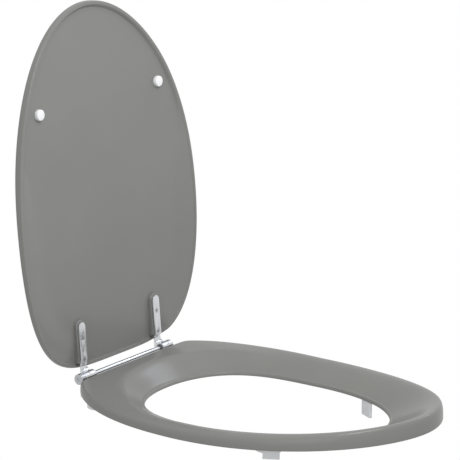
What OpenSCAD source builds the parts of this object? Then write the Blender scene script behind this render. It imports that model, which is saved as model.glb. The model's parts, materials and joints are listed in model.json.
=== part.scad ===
// Toilet seat with a lid on a cross-bar hinge, shown with the seat down and the lid up.
// The origin is on top of the pan, midway between the two fixing holes.
// X runs across the pan, -Y to its front, +Z up. A distance "out" is measured from
// the hinge axis towards the front tip. Lengths are millimetres, angles degrees.

/* [Hinge] */
// Height of the hinge axis above the pan
axis_h = 26; // [25:0.5:32]
// Spacing of the two fixing holes in the pan
hole_pitch = 155; // [150:1:160]
// Diameter of the cross bar
rod_d = 7; // [6:0.5:7.5]
// Outer diameter of the round eyes on the bar
barrel_d = 14; // [13.5:0.1:14.5]
// Thickness of a base's eye and web along the bar
base_w = 3.4; // [3:0.1:5]
// Length of the cap on the bar's left end
cap_l = 9; // [5:0.1:10]
// Gap between neighbouring eyes along the bar
eye_gap = 0.3; // [0.2:0.05:0.5]
// Radial running clearance of the bushes on the bar
run_gap = 0.05; // [0.02:0.01:0.1]
// Wall of the plastic bushes
bush_wall = 1.3; // [1:0.1:1.6]
// Diameter of the collar on a strap's bush
collar_d = 10.8; // [10.5:0.1:13]
// Thickness of that collar
collar_t = 0.8; // [0.6:0.1:1.5]
// Thickness of the foot that stands on the pan
foot_t = 12; // [9:0.5:13]
// Radius of the foot round the fixing hole
foot_r = 9; // [8:0.5:10]
// Depth of the web between the foot and the outer eye
web_d = 8; // [6:0.5:10]
// Core diameter of the M8 thread in the foot
fix_thread_d = 6.8; // [6.6:0.1:7]
// Head diameter of the screws in the ends of the bar
end_head_d = 9; // [8:0.5:10]
// Depth of those heads
end_head_t = 1.6; // [1:0.1:2]
// Shank diameter of those screws
end_screw_d = 4; // [3:0.5:4.5]
// Depth of those screws in the bar
end_screw_l = 10; // [6:1:16]

/* [Lid straps] */
// Width of a strap across the lid
strap_w = 13; // [11:0.5:13]
// Thickness of the flat part of a strap
strap_t = 2.5; // [2:0.1:3]
// Height of the strap's front face above the axis, lid closed
strap_face = 6; // [5.8:0.1:6.5]
// Distance out to the end of a strap
strap_out = 69; // [60:1:80]
// Distance out to the strap's far screw
strap_screw_far = 48.8; // [42:0.2:54]
// Distance out to the strap's near screw
strap_screw_near = 21; // [20:0.5:30]
// Height of the eye's back edge above the axis, lid closed
eye_back = 9.4; // [8.8:0.1:9.5]
// Distance out to the bump behind the eye
bump_out = 5.2; // [4:0.1:6]
// Height of that bump's centre above the axis, lid closed
bump_up = 7.7; // [7:0.1:8]
// Radius of the bump
bump_r = 3.2; // [2.5:0.1:3.5]
// Distance out to the valley between the bump and the flat part
valley_out = 12.4; // [12:0.1:13]
// Height of the valley's centre above the axis, lid closed
valley_up = 4.3; // [3.5:0.1:4.5]
// Radius of the valley
valley_r = 4; // [3.5:0.1:4.2]
// Distance out to the end of the heel that backs the eye
heel_out = 16; // [15:0.5:17]

/* [Seat lugs] */
// Thickness of a lug's eye and arm along the bar
lug_t = 3; // [2.5:0.1:4]
// Depth of the lug's plate below the axis
lug_drop = 6.5; // [6:0.1:7]
// Thickness of that plate
lug_plate_t = 2; // [1.5:0.1:2.2]
// Width of that plate
lug_plate_w = 12; // [10:0.5:12]
// Distance out to the end of that plate
lug_plate_out = 40.5; // [40:0.1:41]
// Distance out to the plate's near screw
lug_screw_near = 25.5; // [25:0.1:26.5]
// Distance out to the plate's far screw
lug_screw_far = 35.5; // [34:0.1:36.5]
// Clearance round the arm in the seat's rear wall
slot_gap = 0.5; // [0.3:0.1:1]

/* [Screws] */
// Shank diameter of the strap and lug screws
screw_d = 4; // [3.5:0.1:4.5]
// Head diameter of those screws
screw_head_d = 6.8; // [6.2:0.1:8]
// Depth of their countersunk heads
screw_head_t = 1.8; // [1.5:0.1:1.9]
// How deep those screws reach into the moulding
screw_bite = 4.5; // [3:0.5:5]

/* [Seat outline] */
// Distance out to the seat's front tip
seat_out = 463.1; // [440:0.1:464]
// Half the width of the seat
seat_half = 174.9; // [168:0.1:176]
// Distance out to the seat's widest place
seat_mid = 187.5; // [180:0.5:200]
// Distance out to the seat's straight rear edge
seat_rear = 10; // [9.8:0.1:11]
// Distance out to the opening's front end
hole_front = 387.3; // [375:0.1:392]
// Distance out to the opening's rear end
hole_rear = 65.2; // [64:0.1:72]
// Distance out to the opening's widest place
hole_mid = 220.6; // [205:0.1:230]
// Half the width of the opening
hole_half = 114.4; // [105:0.1:116]

/* [Seat section] */
// Top of the seat above the axis at the rear end
top_rear = 5; // [4:0.1:5.5]
// Top of the seat above the axis halfway along
top_mid = -0.5; // [-3:0.1:1]
// Top of the seat above the axis at the front end
top_front = 17.5; // [14:0.1:18]
// Bottom edge above the axis at the rear end
edge_rear = -7.1; // [-8:0.1:-6]
// Bottom edge above the axis halfway along
edge_mid = -18.5; // [-20:0.1:-17]
// Bottom edge above the axis at the front end
edge_front = -6.7; // [-9:0.1:-5]
// Distance of the top's crest inside the rear edge
crest_rear = 3.5; // [2.5:0.1:6]
// Distance of the top's crest inside the side edge
crest_side = 12; // [7:0.1:16]
// Distance of the top's crest inside the front tip
crest_front = 7; // [5:0.1:16]
// Length of the scoop behind the opening
scoop_l = 34; // [30:0.5:38]
// Gap between the opening's lower edge and the pan
rim_gap = 2; // [1:0.1:4]
// Height of the opening's wall
rim_wall = 5; // [4:0.1:7]
// Rounding of the opening's upper edge
rim_round = 3; // [2:0.1:4]
// Thickness of the moulded skin
skin = 8; // [7:0.1:9]
// Width of the rim that runs along the bottom edge
edge_w = 6.5; // [5:0.1:8]

/* [Seat buffers] */
// Radius of the front buffers
front_buffer_r = 17.5; // [15:0.5:18.5]
// Distance of the front buffers inside the seat's widest place
front_buffer_in = 56.2; // [53:0.1:58]
// Distance of the front buffers behind the seat's front tip
front_buffer_back = 153.1; // [148:0.1:163]
// Width of the legs that keep the seat from sliding
leg_w = 21; // [15:0.5:24]
// Thickness of those legs
leg_t = 3.4; // [2.5:0.1:5]
// How far the legs reach below the top of the pan
leg_drop = 18; // [10:0.5:25]
// Angle between a leg's flat face and the middle plane
leg_turn = 28; // [20:1:35]
// Radius of the rear buffers
rear_buffer_r = 14; // [10:0.5:14.5]
// Gap between a rear buffer and the lug's plate
rear_buffer_gap = 1.7; // [1:0.1:3.5]
// Distance of the rear buffers from the seat's rear edge
rear_buffer_in = 31; // [30:0.5:36]
// Diameter of the buffers' plugs
plug_d = 8; // [6:0.5:9]
// Length of the buffers' plugs
plug_l = 4; // [3:0.5:5]

/* [Lid] */
// Distance out to the lid's front tip
lid_out = 468.4; // [468:0.1:475]
// Half the width of the lid
lid_half = 179.3; // [179:0.1:184]
// Distance out to the lid's widest place
lid_mid = 191.8; // [185:0.1:200]
// Distance out to the lid's rear edge
lid_rear = 9.3; // [9.2:0.1:10]
// Angle the lid stands open, from level
lid_open = 94.73; // [92:0.01:98]
// Lip above the axis at the rear end, lid closed
lip_rear = 12.2; // [11.8:0.1:13]
// Lip above the axis halfway along, lid closed
lip_mid = 5.6; // [5.4:0.1:7]
// Lip above the axis at the front end, lid closed
lip_front = 19.6; // [19.4:0.1:22]
// Width of the lip
lip_w = 4.5; // [3.5:0.1:5]
// Depth of the shallow underside behind the lip
lid_recess = 4.2; // [3.8:0.1:5]
// Thickness of the lid's panel
panel_t = 7.5; // [7:0.1:9]
// How much thinner the panel is towards the hinge
panel_taper = 2.2; // [0:0.1:2.5]
// Width of the rounding along the lid's top edge
lid_round = 5; // [4:0.5:9]
// Height of that rounding
lid_round_h = 4.5; // [3:0.5:7]
// Margin of the pads round the straps
pad_margin = 1.8; // [1.5:0.1:3]
// Radius of the lid's buffers
lid_buffer_r = 7; // [5:0.5:8]
// Distance of the lid's buffers inside the lid's widest place
lid_buffer_in = 57.6; // [55:0.1:61]
// Distance of the lid's buffers behind the lid's front tip
lid_buffer_back = 123.7; // [118:0.1:133]
// Height of the lid buffers' faces above the axis, lid level
lid_buffer_face = 8.2; // [8.1:0.1:9.5]

/* [Hidden] */
$fn = 64;

// Places along the bar, from the middle outwards
strap_x = hole_pitch / 2;
strap_in = strap_x - strap_w / 2;
strap_end = strap_x + strap_w / 2;
lug_in = strap_end + eye_gap;
lug_end = lug_in + lug_t;
base_in = lug_end + eye_gap;
base_end = base_in + base_w;
bush_in_d = rod_d + 2 * run_gap;
bush_d = bush_in_d + 2 * bush_wall;
bar_half = base_end - end_head_t;

// Places of the buffers
front_buffer_x = seat_half - front_buffer_in;
front_buffer_out = seat_out - front_buffer_back;
rear_buffer_x = lug_in + lug_plate_w + rear_buffer_gap + rear_buffer_r;
rear_buffer_out = seat_rear + rear_buffer_in;
lid_buffer_x = lid_half - lid_buffer_in;
lid_buffer_out = lid_out - lid_buffer_back;

// Number of sections round the seat and the lid
SEAT_STATIONS = 80;
LID_STATIONS = 72;

// Smooth curve through three heights: at the rear, halfway and at the front
BOW_HALF = 234;
function bow(out, rear, mid, front) =
    let (s = out / BOW_HALF - 1)
    mid + (front - rear) / 2 * s + ((front + rear) / 2 - mid) * s * s;

// Egg outline, as [across, out] at an angle counted from the front tip. The powers give
// its fullness: [side, tip] before the widest place and [side, tip] behind it.
function egg(a, half, mid, front, rear, before, behind) =
    let (c = cos(a), s = sin(a), p = c > 0 ? before : behind)
    [
        half * sign(s) * pow(abs(s), p[0]),
        mid + (c > 0 ? front - mid : rear - mid) * pow(abs(c), p[1])
    ];

// Seat edge: an egg whose rear end is cut straight, with a short blend at the corners
SEAT_EGG_REAR = -18.5;
SEAT_BLEND = 4;
SEAT_BEFORE = [1.005, 1.105];
SEAT_BEHIND = [0.772, 0.803];
function straight_rear(out) =
    (out + seat_rear + sqrt(pow(out - seat_rear, 2) + SEAT_BLEND * SEAT_BLEND)) / 2;
function seat_edge(a) =
    let (p = egg(a, seat_half, seat_mid, seat_out, SEAT_EGG_REAR, SEAT_BEFORE, SEAT_BEHIND))
    [p.x, straight_rear(p.y)];

HOLE_BEFORE = [0.948, 0.939];
HOLE_BEHIND = [0.935, 0.562];
function seat_hole(a) =
    egg(a, hole_half, hole_mid, hole_front, hole_rear, HOLE_BEFORE, HOLE_BEHIND);

// Inset of the crest of the top from the outer edge
function crest_inset(a) =
    let (c = cos(a))
    crest_side + (c > 0 ? (crest_front - crest_side) * c * c
                        : (crest_rear - crest_side) * pow(-c, 0.6));

// Fall of the top from its crest (0) to the opening (1): a dome at the front and the
// sides, and a flat deck that ends in a scoop at the rear
DOME_BLEND = 0.16;
function dome_fall(t) =
    (norm([t, DOME_BLEND]) - DOME_BLEND) / (norm([1, DOME_BLEND]) - DOME_BLEND);
function scoop_fall(x) = x <= 0 ? 0 : 1 - pow(1 - pow(min(x, 1), 1.7), 1.25);
function scoop_share(a) =
    let (x = max(0, min(1, (-cos(a) - 0.05) / 0.5)))
    x * x * (3 - 2 * x);
function fall(a, t, span) =
    let (rim = max(0, 1 - scoop_l / span), k = scoop_share(a))
    k * scoop_fall((t - rim) / (1 - rim)) + (1 - k) * dome_fall(t);

function seat_width(a) = norm(seat_hole(a) - seat_edge(a));
function seat_point(a, u) =
    seat_edge(a) + (seat_hole(a) - seat_edge(a)) * u / seat_width(a);
function top_at(a, u) =
    let (
        inset = crest_inset(a),
        span = seat_width(a) - rim_round - inset,
        t = max(0, min(1, (u - inset) / span)),
        f = fall(a, t, span),
        crest = axis_h + bow(seat_point(a, u).y, top_rear, top_mid, top_front)
    )
    crest * (1 - f) + (rim_gap + rim_wall) * f;
function under_at(a, u) = max(rim_gap + 1, top_at(a, max(u, crest_inset(a))) - skin);

// Section of the seat as [inset, height]: outer wall, top, opening's wall, underside
WALL_STEPS = 5;
TOP_STEPS = 9;
UNDER_STEPS = 4;
WALL_POWER = 0.8;
RIM_W = 5;
function seat_section(a) =
    let (
        w = seat_width(a),
        inset = crest_inset(a),
        span = w - rim_round - inset,
        zb = axis_h + bow(seat_edge(a).y, edge_rear, edge_mid, edge_front),
        zc = top_at(a, inset),
        under_in = edge_w + 3,
        under_out = w - 2 * RIM_W - 1
    )
    concat(
        [for (k = [0 : WALL_STEPS - 1])
            let (b = 90 * k / WALL_STEPS)
            [inset * (1 - pow(cos(b), WALL_POWER)), zb + (zc - zb) * pow(sin(b), WALL_POWER)]],
        [for (k = [0 : TOP_STEPS])
            let (u = inset + span * k / TOP_STEPS)
            [u, top_at(a, u)]],
        [for (b = [30, 60, 90])
            [w - rim_round * (1 - sin(b)), rim_gap + rim_wall - rim_round * (1 - cos(b))]],
        [[w, rim_gap], [w - RIM_W, rim_gap]],
        [for (k = [UNDER_STEPS : -1 : 0])
            let (u = under_in + (under_out - under_in) * k / UNDER_STEPS)
            [u, under_at(a, u)]],
        [[edge_w, zb]]
    );

// Closed band of sections, each joined to the next and the last to the first
module band(rings) {
    n = len(rings);
    m = len(rings[0]);
    points = [for (r = rings) each r];
    faces = [for (i = [0 : n - 1]) for (j = [0 : m - 1])
        let (i2 = (i + 1) % n, j2 = (j + 1) % m)
        each [[i * m + j, i * m + j2, i2 * m + j2], [i * m + j, i2 * m + j2, i2 * m + j]]];
    polyhedron(points, faces);
}

module seat_shell() {
    band([for (k = [0 : SEAT_STATIONS - 1])
        let (a = 360 * k / SEAT_STATIONS)
        [for (p = seat_section(a))
            let (q = seat_point(a, p.x))
            [q.x, -q.y, p.y]]]);
}

// Lid edge and section. Heights are above the axis with the lid level.
LID_BEFORE = [1.04, 0.914];
LID_BEHIND = [0.42, 1.015];
LID_CENTRE = [0, 230];
LIP_FADE = [90, 112];
function lid_edge(a) =
    egg(a, lid_half, lid_mid, lid_out, lid_rear, LID_BEFORE, LID_BEHIND);
function lip_height(out) = bow(out, lip_rear, lip_mid, lip_front);

// The lip runs out along the straight rear edge: 1 where it is full, 0 where it is gone
function lip_share(a) =
    let (
        p = lid_edge(a),
        x = max(0, min(1, (abs(p.x) - LIP_FADE[0]) / (LIP_FADE[1] - LIP_FADE[0])))
    )
    p.y > BOW_HALF / 2 ? 1 : x * x * (3 - 2 * x);

// Loss of the panel's thickness towards the hinge
TAPER_FADE = [100, 210];
function thinning(out) =
    let (x = max(0, min(1, (TAPER_FADE[1] - out) / (TAPER_FADE[1] - TAPER_FADE[0]))))
    panel_taper * x * x * (3 - 2 * x);

// A lid point lies u inside the edge, then a share f of the way to the centre, and h
// above the lip's curve, less the panel's thinning
function lid_point(a, u, f, h) =
    let (
        e = lid_edge(a),
        d = LID_CENTRE - e,
        p = e + d * u / norm(d),
        q = p + (LID_CENTRE - p) * f
    )
    [q.x, q.y, lip_height(q.y) + h - thinning(q.y) * max(0, (h - lid_recess) / panel_t)];

LID_SHARES = [0.2, 0.45, 0.72];
function lid_rings(a) =
    let (
        low = (1 - lip_share(a)) * (lid_recess - 0.5),
        top = lid_recess + panel_t
    )
    concat(
        [for (k = [len(LID_SHARES) - 1 : -1 : 0])
            lid_point(a, lip_w + 4, LID_SHARES[k], lid_recess)],
        [
            lid_point(a, lip_w + 4, 0, lid_recess),
            lid_point(a, lip_w + 1.2, 0, lid_recess - (lid_recess - low) * 0.2),
            lid_point(a, lip_w, 0, low + 0.5),
            lid_point(a, lip_w - 0.8, 0, low),
            lid_point(a, 1, 0, low),
            lid_point(a, 0, 0, low + 1)
        ],
        [for (b = [0 : 22.5 : 90])
            lid_point(a, lid_round * (1 - cos(b)), 0, top - lid_round_h * (1 - sin(b)))],
        [for (f = LID_SHARES) lid_point(a, lid_round, f, top)]
    );

module lid_shell() {
    rings = [for (k = [0 : LID_STATIONS - 1]) lid_rings(360 * k / LID_STATIONS)];
    n = len(rings);
    m = len(rings[0]);
    under = [LID_CENTRE.x, LID_CENTRE.y, lip_height(LID_CENTRE.y) + lid_recess];
    top = under + [0, 0, panel_t];
    points = concat([for (r = rings) each r], [under, top]);
    sides = [for (i = [0 : n - 1]) for (j = [0 : m - 2])
        let (i2 = (i + 1) % n)
        each [[i * m + j, i2 * m + j + 1, i * m + j + 1], [i * m + j, i2 * m + j, i2 * m + j + 1]]];
    fans = [for (i = [0 : n - 1])
        let (i2 = (i + 1) % n)
        each [[n * m, i2 * m, i * m], [n * m + 1, i * m + m - 1, i2 * m + m - 1]]];
    polyhedron(
        [for (p = points) [p.x, -p.y, p.z]],
        [for (f = concat(sides, fans)) [f[0], f[2], f[1]]]
    );
}

// Builds one half of the hinge on the right (+X), or mirrors it to the left
module side(left) {
    mirror([left ? 1 : 0, 0, 0]) children();
}

// Moves what is drawn about the axis, with the lid level, to its place on the open lid
module on_lid() {
    translate([0, 0, axis_h]) rotate([-lid_open, 0, 0]) children();
}

// Round bar about the X axis, from x = a to x = b
module bar(a, b, d) {
    translate([a, 0, 0]) rotate([0, 90, 0]) cylinder(h = b - a, d = d);
}

// Extrudes an outline drawn as [out, up] along X, from x = a to x = b
module across(a, b) {
    translate([a, 0, 0]) mirror([0, 1, 0]) rotate([90, 0, 90]) linear_extrude(b - a) children();
}

// Space of a countersunk screw along -Z, with its head's top at the origin
module screw_space(length) {
    translate([0, 0, -screw_head_t]) cylinder(h = screw_head_t, d1 = screw_d, d2 = screw_head_d);
    translate([0, 0, -length]) cylinder(h = length, d = screw_d);
}

module screw(length) {
    difference() {
        screw_space(length);
        for (turn = [0, 90])
            rotate([0, 0, turn]) translate([-screw_d * 0.45, -0.4, -1.2])
                cube([screw_d * 0.9, 0.8, 2]);
    }
}

// Underside of the seat at its lugs and buffers
lug_face = axis_h - lug_drop;
lug_screw_x = lug_in + lug_plate_w / 2;
lug_screw_l = lug_plate_t + screw_bite;
plate_start = seat_rear + edge_w + 4;
LUG_PAD_H = 6;
LUG_PAD_MARGIN = 2;
FRONT_BOSS_H = 5.5;
REAR_BOSS_H = 8;
BOSS_MARGIN = 1;
PAD_FLAT = 2;
BOSS_FLAT = -3;
PAD_GAP = 0.2;
FLANGE_GAP = 0.3;
front_seat_z = axis_h + bow(front_buffer_out, edge_rear, edge_mid, edge_front);
rear_seat_z = axis_h + bow(rear_buffer_out, edge_rear, edge_mid, edge_front);

// Moves to a buffer's centre, with +X turned to face the opening
module at_front_buffer() {
    translate([front_buffer_x, -front_buffer_out, 0]) rotate([0, 0, 180 - leg_turn]) children();
}
module at_rear_buffer() {
    translate([rear_buffer_x, -rear_buffer_out, 0]) children();
}

// Plug in the thick outer half of the pad
module front_plug() {
    translate([-front_buffer_r / 2, 0, 0]) cylinder(h = front_seat_z + plug_l, d = plug_d);
}

// Round pad with a flat side towards the opening
module front_pad(r, flat, z, h) {
    intersection() {
        translate([0, 0, z]) cylinder(h = h, r = r);
        translate([-2 * r, -2 * r, z]) cube([2 * r + flat, 4 * r, h]);
    }
}

module seat_ring() {
    color("dimgray") difference() {
        union() {
            seat_shell();
            for (left = [false, true]) side(left) {
                at_front_buffer()
                    front_pad(front_buffer_r + BOSS_MARGIN, BOSS_FLAT, front_seat_z, FRONT_BOSS_H);
                at_rear_buffer() translate([0, 0, rear_seat_z])
                    cylinder(h = REAR_BOSS_H, r = rear_buffer_r + BOSS_MARGIN);
                translate([lug_in, -lug_plate_out - LUG_PAD_MARGIN, lug_face])
                    cube([
                        lug_plate_w + LUG_PAD_MARGIN,
                        lug_plate_out + LUG_PAD_MARGIN - plate_start,
                        LUG_PAD_H
                    ]);
            }
        }
        for (left = [false, true]) side(left) {
            at_front_buffer() front_pad(front_buffer_r + PAD_GAP, PAD_FLAT, -1, front_seat_z + 1);
            at_front_buffer() front_plug();
            at_rear_buffer() cylinder(h = rear_seat_z + plug_l, d = plug_d);
            at_rear_buffer() cylinder(h = rear_seat_z, r = rear_buffer_r + PAD_GAP);
            translate([lug_in - slot_gap, -plate_start, 0])
                cube([lug_t + 2 * slot_gap, edge_w + 6, lug_face + slot_gap]);
            translate([lug_in - slot_gap, -lug_plate_out - slot_gap, 0]) cube([
                lug_plate_w + 2 * slot_gap,
                lug_plate_out - plate_start + 2 * slot_gap,
                lug_face
            ]);
            for (out = [lug_screw_near, lug_screw_far])
                translate([lug_screw_x, -out, 0]) cylinder(h = lug_face + screw_bite, d = screw_d);
        }
    }
}

// Steel lug: an eye on the bar, an arm through the slot in the seat's rear wall, and a
// plate under the deck held by two screws from below
module seat_lug(left) {
    color("silver") side(left) difference() {
        translate([0, 0, axis_h]) union() {
            bar(lug_in, lug_end, barrel_d);
            across(lug_in, lug_end) polygon([
                [-1, -lug_drop], [3, -lug_drop - lug_plate_t],
                [plate_start + 1, -lug_drop - lug_plate_t], [plate_start + 1, -lug_drop],
                [seat_rear - 1, -lug_drop], [5, -lug_drop + 1.5]
            ]);
            translate([lug_in, -lug_plate_out, -lug_drop - lug_plate_t])
                cube([lug_plate_w, lug_plate_out - plate_start, lug_plate_t]);
        }
        translate([0, 0, axis_h]) bar(lug_in - 1, lug_end + 1, bush_d);
        lug_screw_places() screw_space(lug_screw_l);
    }
}

module lug_screw_places() {
    for (out = [lug_screw_near, lug_screw_far])
        translate([lug_screw_x, -out, lug_face - lug_plate_t]) mirror([0, 0, 1]) children();
}

module lug_screws() {
    color("gainsboro") for (left = [false, true]) side(left) lug_screw_places() screw(lug_screw_l);
}

module lug_bush(left) {
    color("darkgray") side(left) translate([0, 0, axis_h]) difference() {
        bar(lug_in, lug_end, bush_d);
        bar(lug_in - 1, lug_end + 1, bush_in_d);
    }
}

// Soft front buffer: a pad under the seat with a leg that hangs inside the pan
module front_buffer(left) {
    color("lightgray") side(left) at_front_buffer() {
        front_pad(front_buffer_r, PAD_FLAT, 0, front_seat_z);
        front_plug();
        cylinder(h = rim_gap - FLANGE_GAP, r = front_buffer_r);
        translate([front_buffer_r - leg_t, -leg_w / 2, -leg_drop])
            cube([leg_t, leg_w, leg_drop + rim_gap - FLANGE_GAP]);
    }
}

module rear_buffer(left) {
    color("lightgray") side(left) at_rear_buffer() {
        cylinder(h = rear_seat_z, r = rear_buffer_r);
        cylinder(h = rear_seat_z + plug_l, d = plug_d);
    }
}

// Lid moulding with a pad under each strap
strap_back = strap_face + strap_t;
pad_end = strap_out + pad_margin + 1;
pad_in = heel_out + 0.3;
PAD_DEPTH = 8;
BUFFER_SEAT = 0.5;
buffer_root = lip_height(lid_buffer_out) + lid_recess + BUFFER_SEAT;

module strap_pad() {
    half = strap_w / 2 + pad_margin;
    translate([strap_x, 0, strap_back]) linear_extrude(PAD_DEPTH) {
        translate([-half, -pad_end + half]) square([2 * half, pad_end - half - pad_in]);
        translate([0, -pad_end + half]) circle(half);
    }
}

module at_lid_buffer() {
    translate([lid_buffer_x, -lid_buffer_out, 0]) children();
}

module strap_screw_places() {
    for (out = [strap_screw_near, strap_screw_far])
        translate([strap_x, -out, strap_face]) mirror([0, 0, 1]) children();
}

module lid() {
    color("dimgray") on_lid() difference() {
        union() {
            lid_shell();
            for (left = [false, true]) side(left) strap_pad();
        }
        for (left = [false, true]) side(left) {
            strap_screw_places() screw_space(strap_t + screw_bite);
            at_lid_buffer() cylinder(h = buffer_root, r = lid_buffer_r);
        }
    }
}

// Steel strap: a flat bar along the lid that turns back over a valley and a bump into
// its eye, with a heel behind them
module strap_outline() {
    circle(d = barrel_d);
    difference() {
        union() {
            square([bump_out, eye_back]);
            intersection() {
                translate([bump_out, bump_up]) circle(bump_r);
                square([heel_out, eye_back]);
            }
            translate([bump_out, bump_up]) square([heel_out - bump_out, eye_back - bump_up]);
            translate([valley_out, strap_face])
                square([strap_out - strap_w / 2 - valley_out, strap_t]);
        }
        translate([valley_out, valley_up]) circle(valley_r);
    }
}

module lid_strap(left) {
    color("silver") side(left) on_lid() difference() {
        union() {
            across(strap_in, strap_end) strap_outline();
            translate([strap_x, -strap_out + strap_w / 2, strap_face])
                cylinder(h = strap_t, d = strap_w);
        }
        bar(strap_in - 1, strap_end + 1, bush_d);
        strap_screw_places() screw_space(strap_t + screw_bite);
    }
}

module strap_screws() {
    color("gainsboro") for (left = [false, true]) side(left) on_lid()
        strap_screw_places() screw(strap_t + screw_bite);
}

// Plastic bush in the strap's eye, with a collar on its inner side
module strap_bush(left) {
    color("darkgray") side(left) on_lid() difference() {
        union() {
            bar(strap_in, strap_end, bush_d);
            bar(strap_in - collar_t, strap_in, collar_d);
        }
        bar(strap_in - collar_t - 1, strap_end + 1, bush_in_d);
    }
}

module lid_buffer(left) {
    color("whitesmoke") side(left) on_lid() at_lid_buffer()
        translate([0, 0, lid_buffer_face])
            cylinder(h = buffer_root - lid_buffer_face, r = lid_buffer_r);
}

HEX_D = 4;
HEX_DEPTH = 1;
module hinge_bar() {
    color("silver") translate([0, 0, axis_h]) difference() {
        bar(-bar_half, bar_half, rod_d);
        for (left = [false, true]) side(left)
            bar(bar_half - end_screw_l, bar_half + 1, end_screw_d);
    }
}

// Screws in the ends of the bar: a flat head sunk in the right base's eye, and on the left
// a long cap that stands out beyond the eye
module bar_end_screws() {
    color("gainsboro") translate([0, 0, axis_h]) for (left = [false, true]) side(left) {
        head_end = base_end + (left ? cap_l : 0);
        difference() {
            union() {
                bar(bar_half - end_screw_l, bar_half, end_screw_d);
                bar(bar_half, base_end, end_head_d);
                if (left) bar(base_end, head_end, barrel_d);
            }
            translate([head_end - HEX_DEPTH, 0, 0]) rotate([0, 90, 0])
                cylinder(h = HEX_DEPTH + 1, d = HEX_D, $fn = 6);
        }
    }
}

// Fixed base: a foot with the M8 thread, and a web up to the outer eye that holds the bar
module hinge_base(left) {
    color("silver") side(left) difference() {
        union() {
            translate([strap_x, 0, 0]) cylinder(h = foot_t, r = foot_r);
            linear_extrude(foot_t) polygon([
                [strap_x, foot_r], [strap_x, -foot_r],
                [base_end, -web_d / 2], [base_end, web_d / 2]
            ]);
            translate([base_in, -web_d / 2, 0]) cube([base_w, web_d, axis_h]);
            translate([0, 0, axis_h]) bar(base_in, base_end, barrel_d);
        }
        translate([0, 0, axis_h]) bar(base_in - 1, bar_half, rod_d);
        translate([0, 0, axis_h]) bar(bar_half, base_end + 1, end_head_d);
        translate([strap_x, 0, -1]) cylinder(h = foot_t + 2, d = fix_thread_d);
    }
}

seat_ring();
seat_lug(true);  // seat_lug_left
seat_lug(false);  // seat_lug_right
lug_bush(true);  // lug_bush_left
lug_bush(false);  // lug_bush_right
lug_screws();
front_buffer(true);  // front_buffer_left
front_buffer(false);  // front_buffer_right
rear_buffer(true);  // rear_buffer_left
rear_buffer(false);  // rear_buffer_right
lid();
lid_strap(true);  // lid_strap_left
lid_strap(false);  // lid_strap_right
strap_bush(true);  // strap_bush_left
strap_bush(false);  // strap_bush_right
strap_screws();
lid_buffer(true);  // lid_buffer_left
lid_buffer(false);  // lid_buffer_right
hinge_bar();
hinge_base(true);  // hinge_base_left
hinge_base(false);  // hinge_base_right
bar_end_screws();
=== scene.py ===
"""A moulded toilet seat with its lid raised on a cross-bar hinge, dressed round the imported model.

Every piece is made in millimetres in the frame of the solids: the origin is on top of the
pan, midway between the fixing holes, with +X to the right and -Y towards the front. A
distance "out" is measured from the hinge axis towards the front tip.
"""
import json
import math

import bmesh
import bpy
import numpy as np
from mathutils import Matrix, Vector


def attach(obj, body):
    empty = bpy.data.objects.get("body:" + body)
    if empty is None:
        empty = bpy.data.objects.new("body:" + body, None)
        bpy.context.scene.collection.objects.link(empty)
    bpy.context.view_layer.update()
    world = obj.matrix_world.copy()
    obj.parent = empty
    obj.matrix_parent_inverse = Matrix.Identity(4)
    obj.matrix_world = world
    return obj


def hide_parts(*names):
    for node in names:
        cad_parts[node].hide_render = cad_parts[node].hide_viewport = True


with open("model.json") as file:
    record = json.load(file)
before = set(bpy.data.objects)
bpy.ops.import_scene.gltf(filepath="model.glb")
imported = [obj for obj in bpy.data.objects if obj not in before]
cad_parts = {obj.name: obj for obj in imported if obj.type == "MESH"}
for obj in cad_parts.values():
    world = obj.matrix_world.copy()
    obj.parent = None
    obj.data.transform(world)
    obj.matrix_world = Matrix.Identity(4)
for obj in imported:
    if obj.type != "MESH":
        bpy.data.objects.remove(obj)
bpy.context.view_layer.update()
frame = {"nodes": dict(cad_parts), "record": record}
record = frame["record"]

# Metres in a millimetre
MM = 0.001
SIDES = {"left": -1, "right": 1}
SLOT_OF = {part["node"]: part["material_slot"] for part in record["subparts"]}
BODY_OF = {
    node: body for body, nodes in record["behaviour"]["bodies"].items() for node in nodes
}

# The hinge axis above the pan, the straps' distance from the middle, and the lid's turn
# from level at rest
AXIS_H = record["behaviour"]["joints"][0]["pos_m"][2] / MM
STRAP_X = record["mounts"][0]["dims"]["spacing_x_mm"] / 2
LID_OPEN = math.radians(94.73)

# Seat outline: an egg, with its widest place at MID and the powers of its two halves, that
# is cut off straight at SEAT_REAR with a short blend
SEAT_OUT, SEAT_HALF, SEAT_MID, SEAT_REAR = 463.1, 174.9, 194.0, 10.0
SEAT_EGG_REAR, SEAT_BLEND = -18.5, 4.0
SEAT_BEFORE, SEAT_BEHIND = (1.04, 1.01), (0.772, 0.803)
# The opening's egg
HOLE_FRONT, HOLE_REAR, HOLE_MID, HOLE_HALF = 387.3, 65.2, 220.6, 114.4
HOLE_BEFORE, HOLE_BEHIND = (0.947, 0.93), (0.935, 0.562)
# Heights from the axis at the rear, halfway and at the front: of the top's crest, of the
# lower edge and of the buffers' tops. The first two are fitted to the photo.
BOW_HALF = 234.0
TOP_BOW = (6.2, -2.6, 15.8)
EDGE_BOW = (-7.6, -18.3, -7.0)
BUFFER_BOW = (-7.1, -18.5, -6.7)
# The hidden rear edge is this much shallower, so that the lid closes behind a raised seat
REAR_RAISE, REAR_FADE = 3.6, (20.0, 12.0)
# Distance of the crest inside the edge
CREST_REAR, CREST_SIDE, CREST_FRONT, CREST_POWER = 3.5, 15.0, 5.0, 0.6
# The scoop behind the opening: its length and the shape of its fall
SCOOP_L, SCOOP_EASE, SCOOP_END = 34.0, 1.7, 1.25
# The share of the deck and scoop in a section grows over this stretch of its angle's cosine
SCOOP_FROM, SCOOP_OVER = 0.05, 0.5
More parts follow.
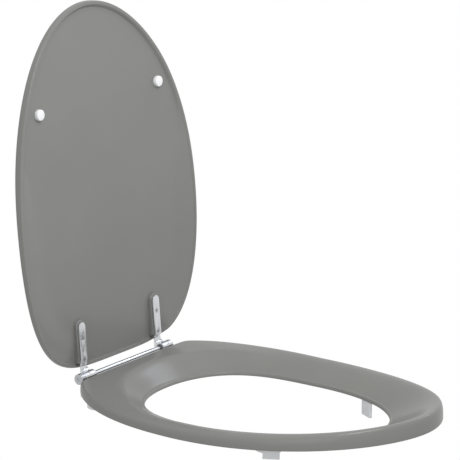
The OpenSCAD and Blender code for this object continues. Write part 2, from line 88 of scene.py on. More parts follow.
# The opening's edge: its height above the pan, its wall, its round and its width
RIM_GAP, RIM_WALL, RIM_ROUND, RIM_W = 2.0, 5.0, 3.0, 5.0
# Thickness under the top, width of the outer edge, and the shapes of the wall and the dome
SKIN, EDGE_W, WALL_POWER, DOME_BLEND = 8.0, 6.5, 0.65, 0.32
# Where the underside's hollow starts inside the edge and ends before the opening, and its
# least height above the pan
HOLLOW_OUT, HOLLOW_IN, HOLLOW_MIN = EDGE_W + 3, 2 * RIM_W + 1, RIM_GAP + 1
# Radius that the press tool leaves on the seat's lower edges
TOOL_ROUND = 0.8
# The deck bends down a little towards the hinge, over this width and by this much
REAR_DOME, REAR_DROP = 26.0, 1.3

# Underside of the seat: the lugs' plates with their pads and slots
LUG_IN, LUG_T, LUG_DROP = 84.3, 3.0, 6.5
PLATE_START, PLATE_END, PLATE_W, PLATE_T, PAD_MARGIN = 20.5, 40.5, 12.0, 2.0, 2.0
SLOT_GAP, SLOT_REAR, PAD_H = 0.5, SEAT_REAR - 2, 6.0
# The buffers' bosses, and the recess for the front one, which is cut from under the pan's top
FRONT_BUFFER = {"r": 17.5, "x": 118.7, "out": 310.0, "turn": 28.0, "boss": 5.5}
REAR_BUFFER = {"r": 14.0, "x": 112.0, "out": 41.0, "boss": 8.0}
BOSS_MARGIN, BOSS_FLAT, PAD_FLAT, PAD_GAP, RECESS_LOW = 1.0, -3.0, 2.0, 0.2, -1

# Lid outline, and heights of its lip from the axis with the lid level
LID_OUT, LID_HALF, LID_MID, LID_REAR = 468.1, 179.3, 193.4, 6.9
LID_BEFORE, LID_BEHIND = (1.027, 0.92), (0.458, 0.955)
LID_CENTRE = np.array((0.0, 230.0))
LIP_BOW = (12.2, 5.6, 19.6)
# The rear edge has no lip, but for the last LIP_GONE of its depth, up to where it fades in
# over this stretch from the middle
LIP_FADE, LIP_GONE = (90.0, 112.0), 0.5
# Width and depth of the lip, and the panel, which is thinner towards the hinge
LIP_W, LID_RECESS, PANEL_T, PANEL_TAPER = 4.5, 4.2, 7.5, 2.9
TAPER_FADE = (110.0, 290.0)
# The tip leans back and thins over its last stretch
TIP_FADE, TIP_LEAN, TIP_TAPER = (350.0, 468.0), 2.9, 3.0
# Width and height of the round on the lid's other side
LID_ROUND, LID_ROUND_H = 5.0, 4.5
# Fillet between the lip and the shallow underside, and the lip's own edges
LIP_FILLET, LIP_EDGE, LIP_CREST, LIP_LAND = 3.4, 1.2, 0.7, 0.4
# Towards the hinge the fillet widens by this much, until the lip melts into the panel
SOFT_FILLET, SOFT_FADE = 42.0, (330.0, 170.0)

# Pads under the straps, about the axis with the lid level
STRAP_FACE, STRAP_T = 6.0, 2.5
STRAP_PAD = {"half": 8.3, "start": 16.3, "end": 71.8, "depth": 8.0, "edge": 0.6}

# Screws: sizes, places in the straps and the lugs, and the cross recess, whose arms reach
# RECESS_R from the middle and are RECESS_ARM of that wide
SCREW_R, SCREW_HEAD_R, SCREW_HEAD_T, SCREW_BITE = 2.0, 3.4, 1.8, 4.5
STRAP_SCREWS, LUG_SCREWS = (21.0, 48.8), (25.5, 35.5)
RECESS_R, RECESS_DEPTH, RECESS_ARM = 0.75 * SCREW_R, 1.2, 0.45

# Edges that turn by more degrees than this are shaded sharp, the last for the solids' copies
SEAT_SHADE, LID_SHADE, SCREW_SHADE, SHADE_DEG = 62, 40, 30, 50


# Shapes of the mouldings

def bow(out, heights):
    """Smooth curve through three heights: at the rear, halfway and at the front."""
    rear, mid, front = heights
    s = out / BOW_HALF - 1
    return mid + (front - rear) / 2 * s + ((front + rear) / 2 - mid) * s * s


def ease(x):
    """Smooth step from 0 to 1."""
    x = np.clip(x, 0, 1)
    return x * x * (3 - 2 * x)


def egg(a, half, mid, front, rear, before, behind):
    """Egg outline as (across, out) at an angle counted from the front tip."""
    c, s = np.cos(a), np.sin(a)
    ahead = c > 0
    side = np.where(ahead, before[0], behind[0])
    tip = np.where(ahead, before[1], behind[1])
    across = half * np.sign(s) * np.abs(s) ** side
    out = mid + np.where(ahead, front - mid, rear - mid) * np.abs(c) ** tip
    return np.stack([across, out], axis=-1)


def seat_edge(a):
    """Seat's outline, cut off straight at the rear."""
    p = egg(a, SEAT_HALF, SEAT_MID, SEAT_OUT, SEAT_EGG_REAR, SEAT_BEFORE, SEAT_BEHIND)
    p[..., 1] = (p[..., 1] + SEAT_REAR + np.hypot(p[..., 1] - SEAT_REAR, SEAT_BLEND)) / 2
    return p


def seat_hole(a):
    return egg(a, HOLE_HALF, HOLE_MID, HOLE_FRONT, HOLE_REAR, HOLE_BEFORE, HOLE_BEHIND)


def lid_edge(a):
    return egg(a, LID_HALF, LID_MID, LID_OUT, LID_REAR, LID_BEFORE, LID_BEHIND)


TRACE_STEPS = 40001


def even_angles(count, *outlines):
    """Angles at which the stations are evenly spaced along the outlines."""
    dense = np.linspace(0, 2 * np.pi, TRACE_STEPS)
    length = 0
    for outline in outlines:
        points = outline(dense)
        steps = np.hypot(*np.diff(points, axis=0).T)
        length = length + np.concatenate([[0], np.cumsum(steps)]) / steps.sum()
    return np.interp(np.arange(count) / count * len(outlines), length, dense)


def crest_inset(a):
    """Distance of the top's crest inside the edge."""
    c = np.cos(a)
    ahead = (CREST_FRONT - CREST_SIDE) * c * c
    astern = (CREST_REAR - CREST_SIDE) * np.abs(c) ** CREST_POWER
    return CREST_SIDE + np.where(c > 0, ahead, astern)


def scoop_share(a):
    """How far a section is like the deck and scoop behind the opening: 0 to 1."""
    return ease((-np.cos(a) - SCOOP_FROM) / SCOOP_OVER)


def rim_place(span):
    """Place of the scoop's rim between the crest (0) and the opening (1)."""
    return np.maximum(0, 1 - SCOOP_L / span)


def fall(a, t, span):
    """Fall of the top from its crest (0) to the opening (1)."""
    flat = np.hypot(1, DOME_BLEND) - DOME_BLEND
    dome = (np.hypot(t, DOME_BLEND) - DOME_BLEND) / flat
    rim = rim_place(span)
    x = np.clip((t - rim) / (1 - rim), 0, 1)
    scoop = 1 - (1 - x ** SCOOP_EASE) ** SCOOP_END
    k = scoop_share(a)
    return k * scoop + (1 - k) * dome


def arc(u, z, r, start, end, steps=5):
    """Round corner of a section about (u, z), between two angles in degrees."""
    turn = np.radians(np.linspace(start, end, steps))
    return [(u + r * math.cos(b), z + r * math.sin(b)) for b in turn]


def loft(rings, closed_section):
    """Faces between rings of points, one ring a station, all round the part."""
    n, m = len(rings), len(rings[0])
    faces = []
    for i in range(n):
        i2 = (i + 1) % n
        for j in range(m if closed_section else m - 1):
            j2 = (j + 1) % m
            faces.append((i * m + j, i * m + j2, i2 * m + j2, i2 * m + j))
    return faces


WELD_M = 1e-6


def new_object(name, points, faces):
    """Mesh object from points in millimetres."""
    mesh = bpy.data.meshes.new(name)
    mesh.from_pydata([tuple(p) for p in np.asarray(points) * MM], [], faces)
    obj = bpy.data.objects.new(name, mesh)
    bpy.context.scene.collection.objects.link(obj)
    face_outwards(obj)
    return obj


def face_outwards(obj):
    """Joins points that are less than WELD_M apart, and turns all faces outwards."""
    shape = bmesh.new()
    shape.from_mesh(obj.data)
    bmesh.ops.remove_doubles(shape, verts=shape.verts, dist=WELD_M)
    bmesh.ops.recalc_face_normals(shape, faces=shape.faces)
    shape.to_mesh(obj.data)
    shape.free()


def smooth(obj, angle):
    """Smooth shading, but for edges sharper than the angle in degrees."""
    obj.data.shade_smooth()
    obj.data.set_sharp_from_angle(angle=math.radians(angle))


SEAT_STATIONS = 288
WALL_ROWS, TOP_ROWS, UNDER_ROWS = 14, 51, 9
# Share of the top's rows between the crest and the scoop's rim
DECK_ROWS = 0.4
# Degrees over which the wall turns, and at which the top meets the opening's round
WALL_TURN, RIM_TURN, RIM_STEPS = (8, 84), 78, 7


def seat_section(a):
    """Section at each angle as (inset, height) rows: wall, top, opening's edge, underside."""
    edge, hole = seat_edge(a), seat_hole(a)
    width = np.hypot(*(hole - edge).T)
    inset = crest_inset(a)
    span = width - RIM_ROUND - inset
    behind = ease((edge[:, 1] - REAR_FADE[0]) / (REAR_FADE[1] - REAR_FADE[0]))
    low = AXIS_H + bow(edge[:, 1], EDGE_BOW) + REAR_RAISE * behind
    inner_top = RIM_GAP + RIM_WALL

    def top_at(u):
        out = edge[:, 1] + (hole[:, 1] - edge[:, 1]) * u / width
        near = np.clip(1 - (u - inset) / REAR_DOME, 0, 1)
        crest = AXIS_H + bow(out, TOP_BOW) - REAR_DROP * near ** 2 * scoop_share(a)
        f = fall(a, np.clip((u - inset) / span, 0, 1), span)
        return crest * (1 - f) + inner_top * f

    rise = top_at(inset) - low
    rows = arc(TOOL_ROUND, low + TOOL_ROUND, TOOL_ROUND, 270, 180)
    for b in np.radians(np.linspace(*WALL_TURN, WALL_ROWS)):
        in_by = inset * (1 - np.cos(b) ** WALL_POWER)
        rows.append((in_by, low + rise * np.sin(b) ** WALL_POWER))
    rim = rim_place(span)
    for s in np.linspace(0, 1, TOP_ROWS):
        beyond = rim + (1 - rim) * (s - DECK_ROWS) / (1 - DECK_ROWS)
        t = np.where(s < DECK_ROWS, rim * s / DECK_ROWS, beyond)
        rows.append((inset + span * t, top_at(inset + span * t)))
    rows += arc(width - RIM_ROUND, inner_top - RIM_ROUND, RIM_ROUND, RIM_TURN, 0, RIM_STEPS)
    rows += arc(width - TOOL_ROUND, RIM_GAP + TOOL_ROUND, TOOL_ROUND, 0, -90)
    rows += arc(width - RIM_W + TOOL_ROUND, RIM_GAP + TOOL_ROUND, TOOL_ROUND, -90, -180)
    for t in np.linspace(1, 0, UNDER_ROWS):
        u = HOLLOW_OUT + (width - HOLLOW_IN - HOLLOW_OUT) * t
        rows.append((u, np.maximum(HOLLOW_MIN, top_at(np.maximum(u, inset)) - SKIN)))
    rows += arc(EDGE_W - TOOL_ROUND, low + TOOL_ROUND, TOOL_ROUND, 0, -90)
    return edge, hole, width, rows


def seat_shell():
    """The seat's moulding, lofted through its sections."""
    a = even_angles(SEAT_STATIONS, seat_edge, seat_hole)
    edge, hole, width, rows = seat_section(a)
    grid = []
    for u, z in rows:
        q = edge + (hole - edge) * (np.broadcast_to(u, width.shape) / width)[:, None]
        grid.append(np.stack([q[:, 0], -q[:, 1], np.broadcast_to(z, width.shape)], axis=-1))
    grid = np.stack(grid, axis=1)
    return new_object("seat_moulding", grid.reshape(-1, 3), loft(grid, True))


LID_STATIONS = 288
FILLET_ROWS, CREST_ROWS, ROUND_ROWS = 8, 4, 10
# Places of the panel's rings between its edge and its centre
PANEL_SHARES = (0, 0.03, 0.08, 0.16, 0.25, 0.35, 0.45, 0.55, 0.64, 0.72, 0.8, 0.86, 0.92, 0.97)


def lip_share(edge):
    """The lip runs out along the straight rear edge: 1 where it is full, 0 where it is gone."""
    x = (np.abs(edge[:, 0]) - LIP_FADE[0]) / (LIP_FADE[1] - LIP_FADE[0])
    return np.where(edge[:, 1] > BOW_HALF / 2, 1, ease(x))


def lid_shell():
    """The lid's moulding, made level and about the axis."""
    edge = lid_edge(even_angles(LID_STATIONS, lid_edge))
    inward = LID_CENTRE - edge
    inward = inward / np.hypot(*inward.T)[:, None]
    low = (1 - lip_share(edge)) * (LID_RECESS - LIP_GONE)
    top = LID_RECESS + PANEL_T

    def row(u, f, h):
        """Points u inside the edge, then a share f of the way to the centre, at height h."""
        p = edge + inward * np.reshape(u, (-1, 1))
        q = p + (LID_CENTRE - p) * f
        tip = ease((q[:, 1] - TIP_FADE[0]) / (TIP_FADE[1] - TIP_FADE[0]))
        thin = PANEL_TAPER * ease((TAPER_FADE[1] - q[:, 1]) / (TAPER_FADE[1] - TAPER_FADE[0]))
        share = np.maximum(0, (h - LID_RECESS) / PANEL_T)
        z = bow(q[:, 1], LIP_BOW) + TIP_LEAN * tip + h - (thin + TIP_TAPER * tip) * share
        return np.stack([q[:, 0], -q[:, 1], z], axis=-1)

    soft = ease((edge[:, 1] - SOFT_FADE[0]) / (SOFT_FADE[1] - SOFT_FADE[0]))
    fillet = LIP_FILLET + SOFT_FILLET * soft
    inner = LIP_W + fillet + LIP_CREST
    crest = low + LIP_CREST
    rows = [row(inner, f, LID_RECESS) for f in PANEL_SHARES[::-1]]
    for k in range(1, FILLET_ROWS):
        s = k / FILLET_ROWS
        rows.append(row(inner - fillet * s, 0, LID_RECESS + (crest - LID_RECESS) * ease(s)))
    land = [(LIP_EDGE + LIP_LAND, -LIP_CREST)]
    for u, z in arc(LIP_W, 0, LIP_CREST, 0, -90, CREST_ROWS) + land:
        rows.append(row(u, 0, crest + z))
    for u, z in arc(LIP_EDGE, LIP_EDGE, LIP_EDGE, -90, -180):
        rows.append(row(u, 0, low + z))
    for b in np.radians(np.linspace(0, 90, ROUND_ROWS)):
        h = top - LID_ROUND_H * (1 - math.sin(b))
        rows.append(row(LID_ROUND * (1 - math.cos(b)), 0, h))
    rows += [row(LID_ROUND, f, top) for f in PANEL_SHARES[1:]]
    grid = np.stack(rows, axis=1)
    n, m = grid.shape[:2]
    height = bow(LID_CENTRE[1], LIP_BOW)
    poles = [(0, -LID_CENTRE[1], height + h) for h in (LID_RECESS, top)]
    faces = loft(grid, False)
    for i in range(n):
        i2 = (i + 1) % n
        faces.append((n * m, i2 * m, i * m))
        faces.append((n * m + 1, i * m + m - 1, i2 * m + m - 1))
    return new_object("lid_moulding", np.concatenate([grid.reshape(-1, 3), poles]), faces)


def to_open_lid():
    """Turn that takes what was made about the axis, with the lid level, to the open lid."""
    return Matrix.Translation((0, 0, AXIS_H)) @ Matrix.Rotation(-LID_OPEN, 4, "X")


DISC_STEPS, PAD_STEPS, ROUND_END_STEPS = 64, 49, 33


def prism(outline, low, high):
    """Upright solid on an outline of (x, y) points, in millimetres."""
    n = len(outline)
    points = [(x, y, z) for z in (low, high) for x, y in outline]
    faces = [tuple(range(n))[::-1], tuple(range(n, 2 * n))]
    faces += [(i, (i + 1) % n, n + (i + 1) % n, n + i) for i in range(n)]
    return new_object("prism", points, faces)


def box(x0, x1, out0, out1):
    return [(x0, -out1), (x1, -out1), (x1, -out0), (x0, -out0)]


def disc(r, x, out):
    turn = np.arange(DISC_STEPS) / DISC_STEPS * 2 * math.pi
    return [(x + r * math.cos(t), -out + r * math.sin(t)) for t in turn]


def front_pad(r, flat, side):
    """Round outline about the front buffer, with a flat side towards the opening."""
    start = math.acos(flat / r)
    turn = math.radians(180 - FRONT_BUFFER["turn"])
    points = []
    for t in np.linspace(start, 2 * math.pi - start, PAD_STEPS):
        x = FRONT_BUFFER["x"] + r * math.cos(t + turn)
        points.append((side * x, -FRONT_BUFFER["out"] + r * math.sin(t + turn)))
    return points


def mirrored(outline, side):
    return [(side * x, y) for x, y in outline]


def combine(obj, tool, operation):
    """Joins a solid to a piece, or cuts it out, and removes the tool."""
    step = obj.modifiers.new(operation.lower(), "BOOLEAN")
    step.operation = operation
    step.solver = "MANIFOLD"
    step.object = tool
    bake_modifiers(obj)
    bpy.data.objects.remove(tool)


def bake_modifiers(obj):
    """Turns the piece with its modifiers into a plain mesh."""
    view = bpy.context.evaluated_depsgraph_get()
    mesh = bpy.data.meshes.new_from_object(obj.evaluated_get(view))
    obj.modifiers.clear()
    obj.data = mesh


def round_edges(obj, width, angle):
    """Rounds the edges that are sharper than the angle in degrees."""
    bevel = obj.modifiers.new("edges", "BEVEL")
    bevel.width = width * MM
    bevel.segments = 3
    bevel.limit_method = "ANGLE"
    bevel.angle_limit = math.radians(angle)
    bake_modifiers(obj)


# In the copies, points within MERGE_MM are merged, faces within FLAT_DEG are joined, and
# edges that turn by more than EDGE_DEG are rounded
MERGE_MM, FLAT_DEG, EDGE_DEG = 0.002, 1, 40


def softened(node, name, width):
    """Copy of a node's solid, merged, with its edges rounded as tumbling leaves them."""
    obj = bpy.data.objects.new(name, frame["nodes"][node].data.copy())
    bpy.context.scene.collection.objects.link(obj)
    shape = bmesh.new()
    shape.from_mesh(obj.data)
    bmesh.ops.remove_doubles(shape, verts=shape.verts, dist=MERGE_MM * MM)
    bmesh.ops.dissolve_limit(
        shape, angle_limit=math.radians(FLAT_DEG), verts=shape.verts, edges=shape.edges)
    shape.to_mesh(obj.data)
    shape.free()
    round_edges(obj, width, EDGE_DEG)
    smooth(obj, SHADE_DEG)
    return obj


# Materials

def linear(hex_colour):
    """Linear colour of an sRGB hex value."""
    parts = [int(hex_colour[i:i + 2], 16) / 255 for i in (1, 3, 5)]
    lit = [c / 12.92 if c <= 0.04045 else ((c + 0.055) / 1.055) ** 2.4 for c in parts]
    return tuple(lit) + (1.0,)


def add(tree, kind, inputs=None, **settings):
    """Adds a node with its settings. An input is a value, or the output that feeds it."""
    made = tree.nodes.new(kind)
    for key, value in settings.items():
        setattr(made, key, value)
    for key, value in (inputs or {}).items():
        if isinstance(value, bpy.types.NodeSocket):
            tree.links.new(value, made.inputs[key])
        else:
            made.inputs[key].default_value = value
    return made


def new_material(name):
    made = bpy.data.materials.new(name)
    made.use_nodes = True
    made.node_tree.nodes.clear()
    return made, made.node_tree


def object_place(tree):
    return add(tree, "ShaderNodeTexCoord").outputs["Object"]


def noise(tree, place, size_mm, detail):
    """Noise whose grains are about size_mm apart. The place is in metres."""
    scale = 1 / (size_mm * MM)
    return add(tree, "ShaderNodeTexNoise", {"Vector": place, "Scale": scale, "Detail": detail})


def between(tree, value, low, high, spread=(0.3, 0.7)):
    """Value spread evenly between low and high."""
    return add(tree, "ShaderNodeMapRange", {
        "Value": value.outputs["Fac"], "From Min": spread[0], "From Max": spread[1],
        "To Min": low, "To Max": high}).outputs["Result"]


def two_tones(tree, value, colours):
    """Colour that drifts from one hex value to the other."""
    return add(tree, "ShaderNodeMix", {
        "Factor": between(tree, value, 0.0, 1.0),
        "A": linear(colours[0]), "B": linear(colours[1])}, data_type="RGBA").outputs["Result"]


def bumped(tree, value, depth_mm, strength):
    return add(tree, "ShaderNodeBump", {
        "Height": value.outputs["Fac"], "Strength": strength, "Distance": depth_mm * MM,
    }).outputs["Normal"]


def finish_material(tree, inputs):
    shader = add(tree, "ShaderNodeBsdfPrincipled", inputs)
    add(tree, "ShaderNodeOutputMaterial", {"Surface": shader.outputs["BSDF"]})


def moulded_thermoset(name, colours, gloss):
    """Urea compound pressed in a polished tool: even colour under a thin resin-rich skin that
    gives a soft gloss, with a faint ripple and hairline marks from wiping."""
    material, tree = new_material(name)
    place = object_place(tree)
    wiped = add(tree, "ShaderNodeMapping", {"Vector": place, "Scale": (1.0, 0.08, 0.08)})
    # Wiping marks are a few hundredths wide, drawn 1 mm apart here so that they show
    marks = noise(tree, wiped.outputs[0], 1.1, 2.0)
    finish_material(tree, {
        "Base Color": two_tones(tree, noise(tree, place, 110, 3.0), colours),
        "Roughness": between(tree, marks, 0.5, 0.6),
        "Specular IOR Level": 0.0,
        "Coat Weight": SKIN_GLOSS,
        "Coat Roughness": gloss,
        "Coat IOR": 1.5,
        "Normal": bumped(tree, noise(tree, place, 14, 1.0), 0.3, 0.08)})
    return material


def ground_stainless(name, colours, roughness, lines_mm):
    """Stainless steel, ground and then tumbled: bright, with faint lines along the grinding."""
    material, tree = new_material(name)
    place = object_place(tree)
    lines = add(tree, "ShaderNodeMapping", {
        "Vector": place, "Scale": tuple(1 / (size * MM) for size in lines_mm)})
    streak = noise(tree, lines.outputs[0], 1 / MM, 4.0)
    finish_material(tree, {
        "Base Color": two_tones(tree, noise(tree, place, 7, 2.0), colours),
        "Metallic": 1.0,
        "Roughness": between(tree, streak, roughness - 0.01, roughness + 0.02),
        "Normal": bumped(tree, streak, 0.002, 0.1)})
    return material


def soft_polymer(name, colours, roughness, depth):
    """Soft moulded polymer of a buffer: milky and satin, with a faint grain from the tool."""
    material, tree = new_material(name)
    place = object_place(tree)
    grain = noise(tree, place, 0.7, 2.0)
    finish_material(tree, {
        "Base Color": two_tones(tree, noise(tree, place, 17, 2.0), colours),
        "Roughness": between(tree, grain, roughness - 0.05, roughness + 0.05),
        "IOR": 1.49,
        "Subsurface Weight": depth,
        "Subsurface Scale": 0.002,
        "Subsurface Radius": (1.0, 0.9, 0.8),
        "Normal": bumped(tree, grain, 0.05, 0.1)})
    return material


# Pressed urea is dyed right through: the two greys are its slight drift of colour
GREY = ("#7a7a78", "#7d7d7a")
# The skin's share of a full gloss
SKIN_GLOSS = 0.5
# Grinding lines run along the bar and across the straps. They are a few hundredths of a
# millimetre apart, and 0.9 mm here so that they show. The screws are turned, without lines.
GRINDING, TURNED = (12.0, 0.9, 0.9), (1.4, 1.4, 1.4)
MATERIALS = {
    "seat_moulding": moulded_thermoset("pressed_urea_seat", GREY, 0.2),
    "lid_moulding": moulded_thermoset("pressed_urea_lid", GREY, 0.2),
    "hinge_steel": ground_stainless("ground_stainless", ("#c9cbce", "#d0d2d4"), 0.24, GRINDING),
    "screw_steel": ground_stainless("turned_stainless", ("#a9abae", "#b4b6b8"), 0.3, TURNED),
    "bush_plastic": soft_polymer("grey_nylon", ("#6a6a6c", "#747476"), 0.45, 0.0),
    "seat_buffer_plastic": soft_polymer("milky_polythene", ("#cdcfd1", "#d6d8d9"), 0.42, 0.15),
    "lid_buffer_plastic": soft_polymer("white_polythene", ("#e4e5e6", "#ecedee"), 0.38, 0.1),
}


def dress(piece, node):
    """Gives a piece its finish and its body, and lets it stand for the node."""
    slot = SLOT_OF[node]
    piece.data.materials.clear()
    piece.data.materials.append(MATERIALS[slot])
    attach(piece, BODY_OF[node])
    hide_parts(node)


# Screws

SCREW_SIDES = 48


def times(tree, value, factor):
    return add(tree, "ShaderNodeMath", {0: value, 1: factor}, operation="MULTIPLY").outputs[0]


def vector(tree, **parts):
    return add(tree, "ShaderNodeCombineXYZ", parts).outputs[0]


def moved(tree, geometry, place):
    return add(tree, "GeometryNodeTransform", {
        "Geometry": geometry, "Translation": place}).outputs["Geometry"]


def screw_tree():
    """Geometry nodes that put a cross-recess screw on each point, with its head's top there
    and turned to the point's direction."""
    tree = bpy.data.node_groups.new("countersunk_screws", "GeometryNodeTree")
    tree.interface.new_socket("Points", in_out="INPUT", socket_type="NodeSocketGeometry")
    for label in ("Head Radius", "Shank Radius", "Head Depth", "Length", "Recess", "Recess Depth"):
        tree.interface.new_socket(label, in_out="INPUT", socket_type="NodeSocketFloat")
    tree.interface.new_socket("Finish", in_out="INPUT", socket_type="NodeSocketMaterial")
    tree.interface.new_socket("Screws", in_out="OUTPUT", socket_type="NodeSocketGeometry")
    given = add(tree, "NodeGroupInput").outputs
    head = add(tree, "GeometryNodeMeshCone", {
        "Vertices": SCREW_SIDES, "Radius Top": given["Head Radius"],
        "Radius Bottom": given["Shank Radius"], "Depth": given["Head Depth"]}).outputs["Mesh"]
    down = times(tree, given["Head Depth"], -1.0)
    shank = add(tree, "GeometryNodeMeshCylinder", {
        "Vertices": SCREW_SIDES, "Radius": given["Shank Radius"],
        "Depth": given["Length"]}).outputs["Mesh"]
    half = times(tree, given["Length"], -0.5)
    middle = add(tree, "ShaderNodeMath", {0: half, 1: down}, operation="ADD")
    solid = add(tree, "GeometryNodeMeshBoolean", operation="UNION")
    for part in (moved(tree, head, vector(tree, Z=down)),
                 moved(tree, shank, vector(tree, Z=middle.outputs[0]))):
        tree.links.new(part, solid.inputs["Mesh"])
    long, thin = times(tree, given["Recess"], 2.0), times(tree, given["Recess"], RECESS_ARM)
    deep = times(tree, given["Recess Depth"], 2.0)
    cut = add(tree, "GeometryNodeMeshBoolean", {"Mesh 1": solid.outputs["Mesh"]},
              operation="DIFFERENCE")
    for x, y in ((long, thin), (thin, long)):
        arm = add(tree, "GeometryNodeMeshCube", {"Size": vector(tree, X=x, Y=y, Z=deep)})
        tree.links.new(arm.outputs["Mesh"], cut.inputs["Mesh 2"])
    facing = add(tree, "GeometryNodeInputNamedAttribute", {"Name": "facing"},
                 data_type="FLOAT_VECTOR")
    aim = add(tree, "FunctionNodeAlignRotationToVector", {
        "Vector": facing.outputs["Attribute"]}, axis="Z")
    placed = add(tree, "GeometryNodeInstanceOnPoints", {
        "Points": given["Points"], "Instance": cut.outputs["Mesh"],
        "Rotation": aim.outputs["Rotation"]})
    real = add(tree, "GeometryNodeRealizeInstances", {"Geometry": placed.outputs["Instances"]})
    finished = add(tree, "GeometryNodeSetMaterial", {
        "Geometry": real.outputs["Geometry"], "Material": given["Finish"]})
    add(tree, "NodeGroupOutput", {"Screws": finished.outputs["Geometry"]})
    return tree


def screws(name, tree, places, direction, length):
    """Screws at places in millimetres, all turned one way, as one plain mesh."""
    mesh = bpy.data.meshes.new(name)
    mesh.from_pydata([tuple(Vector(p) * MM) for p in places], [], [])
    facing = mesh.attributes.new("facing", "FLOAT_VECTOR", "POINT")
    for item in facing.data:
        item.vector = direction
    obj = bpy.data.objects.new(name, mesh)
    bpy.context.scene.collection.objects.link(obj)
    modifier = obj.modifiers.new("screws", "NODES")
    modifier.node_group = tree
    sizes = {
        "Head Radius": SCREW_HEAD_R, "Shank Radius": SCREW_R, "Head Depth": SCREW_HEAD_T,
        "Length": length - SCREW_HEAD_T, "Recess": RECESS_R, "Recess Depth": RECESS_DEPTH}
    values = {key: value * MM for key, value in sizes.items()}
    values["Finish"] = MATERIALS["screw_steel"]
    for item in tree.interface.items_tree:
        if item.item_type == "SOCKET" and item.in_out == "INPUT" and item.name in values:
            modifier[item.identifier] = values[item.name]
    bake_modifiers(obj)
    smooth(obj, SCREW_SHADE)
    return obj


def make_screws():
    """The screws of the straps, seen from the front, and of the lugs, from below."""
    tree = screw_tree()
    turn = to_open_lid()
    down = Vector((0, 0, -1))
    on_straps = [turn @ Vector((side * STRAP_X, -out, STRAP_FACE))
                 for side in SIDES.values() for out in STRAP_SCREWS]
    front = turn.to_3x3() @ down
    made = screws("strap_screw_set", tree, on_straps, front, STRAP_T + SCREW_BITE)
    dress(made, "strap_screws")
    height = AXIS_H - LUG_DROP - PLATE_T
    on_lugs = [(side * (LUG_IN + PLATE_W / 2), -out, height)
               for side in SIDES.values() for out in LUG_SCREWS]
    made = screws("lug_screw_set", tree, on_lugs, down, PLATE_T + SCREW_BITE)
    dress(made, "lug_screws")


# Pieces on the seat, the lid and the hinge

def make_seat():
    """The moulding, with the bosses and pads for what is fixed under it."""
    seat = seat_shell()
    lug_face = AXIS_H - LUG_DROP
    front_z = AXIS_H + bow(FRONT_BUFFER["out"], BUFFER_BOW)
    rear_z = AXIS_H + bow(REAR_BUFFER["out"], BUFFER_BOW)
    rear = (REAR_BUFFER["x"], REAR_BUFFER["out"])
    pad = box(LUG_IN, LUG_IN + PLATE_W + PAD_MARGIN, PLATE_START, PLATE_END + PAD_MARGIN)
    slot = box(LUG_IN - SLOT_GAP, LUG_IN + LUG_T + SLOT_GAP, SLOT_REAR, PLATE_START)
    for side in SIDES.values():
        boss = front_pad(FRONT_BUFFER["r"] + BOSS_MARGIN, BOSS_FLAT, side)
        combine(seat, prism(boss, front_z, front_z + FRONT_BUFFER["boss"]), "UNION")
        boss = mirrored(disc(REAR_BUFFER["r"] + BOSS_MARGIN, *rear), side)
        combine(seat, prism(boss, rear_z, rear_z + REAR_BUFFER["boss"]), "UNION")
        combine(seat, prism(mirrored(pad, side), lug_face, lug_face + PAD_H), "UNION")
        recess = front_pad(FRONT_BUFFER["r"] + PAD_GAP, PAD_FLAT, side)
        combine(seat, prism(recess, RECESS_LOW, front_z), "DIFFERENCE")
        combine(seat, prism(mirrored(slot, side), 0, lug_face + SLOT_GAP), "DIFFERENCE")
    smooth(seat, SEAT_SHADE)
    dress(seat, "seat_ring")


def make_lid():
    """The moulding with the straps' pads, turned to the open lid."""
    lid = lid_shell()
    half, start = STRAP_PAD["half"], STRAP_PAD["start"]
    far = STRAP_PAD["end"] - half
    low = STRAP_FACE + STRAP_T
    for side in SIDES.values():
        turn = np.linspace(0, math.pi, ROUND_END_STEPS)
        outline = [(half * math.cos(t), -far - half * math.sin(t)) for t in turn]
        outline += [(-half, -start), (half, -start)]
        pad = prism([(side * STRAP_X + x, y) for x, y in outline], low, low + STRAP_PAD["depth"])
        round_edges(pad, STRAP_PAD["edge"], EDGE_DEG)
        combine(lid, pad, "UNION")
    turn = to_open_lid()
    turn.translation *= MM
    lid.data.transform(turn)
    smooth(lid, LID_SHADE)
    dress(lid, "lid")


# Names of the dressed copies of the solids, and how far their edges are rounded
HINGE_PIECES = {
    "seat_lug": ("lug", 0.35), "lug_bush": ("lug_sleeve", 0.15),
    "front_buffer": ("front_rest", 0.9), "rear_buffer": ("rear_rest", 1.5),
    "lid_strap": ("strap", 0.45), "strap_bush": ("strap_sleeve", 0.2),
    "lid_buffer": ("lid_rest", 1.2), "hinge_base": ("base", 0.4),
}
MIDDLE_PIECES = {
    "hinge_bar": ("cross_bar", 0.3), "bar_end_screws": ("bar_end_caps", 0.5),
}


def make_hinge():
    """The small pieces of the hinge, the seat and the lid, as dressed copies."""
    for side in SIDES:
        for node, (name, width) in HINGE_PIECES.items():
            dress(softened(f"{node}_{side}", f"{name}_{side}", width), f"{node}_{side}")
    for node, (name, width) in MIDDLE_PIECES.items():
        dress(softened(node, name, width), node)


# Stage, light and camera

# The floor's height and half its width, in metres
FLOOR_Z, FLOOR_HALF = -0.42, 6.0
WHITE = (1.0, 1.0, 1.0, 1.0)
FLOOR_GREY = (0.8, 0.8, 0.8, 1.0)
# Strength of the light from all round
FILL = 0.72


def seen(tree, *kinds):
    """1 for a ray of one of these kinds, and 0 for any other."""
    path = add(tree, "ShaderNodeLightPath").outputs
    found = path[kinds[0]]
    for kind in kinds[1:]:
        either = add(tree, "ShaderNodeMath", {0: found, 1: path[kind]}, operation="MAXIMUM")
        found = either.outputs[0]
    return found


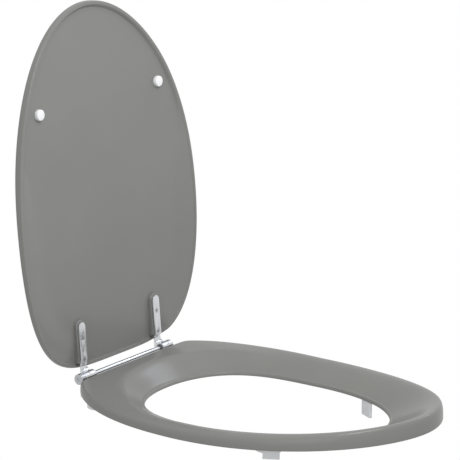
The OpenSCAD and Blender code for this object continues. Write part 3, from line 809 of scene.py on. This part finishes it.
def make_stage():
    """A pale floor, as far below the seat as under a real pan, that is white to the camera
    and in reflections."""
    r, z = FLOOR_HALF, FLOOR_Z
    mesh = bpy.data.meshes.new("floor")
    mesh.from_pydata([(-r, -r, z), (r, -r, z), (r, r, z), (-r, r, z)], [], [(0, 1, 2, 3)])
    floor = bpy.data.objects.new("floor", mesh)
    bpy.context.scene.collection.objects.link(floor)
    material, tree = new_material("floor_white")
    bright = seen(tree, "Is Camera Ray", "Is Glossy Ray", "Is Transmission Ray")
    matte = add(tree, "ShaderNodeBsdfDiffuse", {"Color": FLOOR_GREY})
    glow = add(tree, "ShaderNodeEmission", {"Color": WHITE, "Strength": 1.0})
    mixed = add(tree, "ShaderNodeMixShader", {
        0: bright, 1: matte.outputs[0], 2: glow.outputs[0]})
    add(tree, "ShaderNodeOutputMaterial", {"Surface": mixed.outputs[0]})
    mesh.materials.append(material)


def make_world():
    """Soft grey light from all round, on a background that is white to the camera and in
    reflections."""
    world = bpy.data.worlds.new("studio")
    world.use_nodes = True
    bpy.context.scene.world = world
    tree = world.node_tree
    tree.nodes.clear()
    bright = seen(tree, "Is Camera Ray", "Is Glossy Ray", "Is Transmission Ray")
    fill = add(tree, "ShaderNodeBackground", {"Color": WHITE, "Strength": FILL})
    white = add(tree, "ShaderNodeBackground", {"Color": WHITE, "Strength": 1.0})
    mixed = add(tree, "ShaderNodeMixShader", {
        0: bright, 1: fill.outputs[0], 2: white.outputs[0]})
    add(tree, "ShaderNodeOutputWorld", {"Surface": mixed.outputs[0]})


def make_lamp(name, place, target, size, power, colour="#ffffff"):
    lamp = bpy.data.lights.new(name, "AREA")
    lamp.shape = "RECTANGLE"
    lamp.size, lamp.size_y = size
    lamp.energy = power
    lamp.color = linear(colour)[:3]
    obj = bpy.data.objects.new(name, lamp)
    obj.location = place
    obj.rotation_euler = (Vector(target) - Vector(place)).to_track_quat("-Z", "Y").to_euler()
    obj.visible_camera = False
    bpy.context.scene.collection.objects.link(obj)


# The photograph's camera: its place and aim in metres, and its lens as a focal length in
# pixels of the 460-pixel frame
EYE = Vector((-3.3335, -2.5867, 1.3261))
LOOK_AT = Vector((-0.0786, -0.2217, 0.2526))
FOCAL_PX, FRAME_PX, SENSOR_MM, FAR_CLIP = 3418.5, 460, 36.0, 50.0


def make_camera():
    data = bpy.data.cameras.new("camera")
    data.sensor_width = SENSOR_MM
    data.lens = FOCAL_PX / FRAME_PX * SENSOR_MM
    data.clip_end = FAR_CLIP
    obj = bpy.data.objects.new("camera", data)
    obj.location = EYE
    obj.rotation_euler = (LOOK_AT - EYE).to_track_quat("-Z", "Y").to_euler()
    bpy.context.scene.collection.objects.link(obj)
    bpy.context.scene.camera = obj


make_camera()
make_seat()
make_lid()
make_hinge()
make_screws()
make_stage()
make_world()
make_lamp("overhead", (0.2, -0.3, 2.6), (0.0, -0.25, 0.0), (2.4, 2.4), 6)
make_lamp("front", (-0.3, -0.95, 1.45), (0.0, 0.0, 0.4), (0.6, 0.6), 11.5)
make_lamp("left", (-2.2, -1.3, 0.9), (0.0, -0.2, 0.1), (1.6, 1.6), 7.5)
make_lamp("right", (1.5, -0.42, 1.3), (0.0, -0.05, 0.0), (0.7, 0.5), 4.2, "#eaf1ff")
bpy.context.scene.view_settings.view_transform = "Standard"
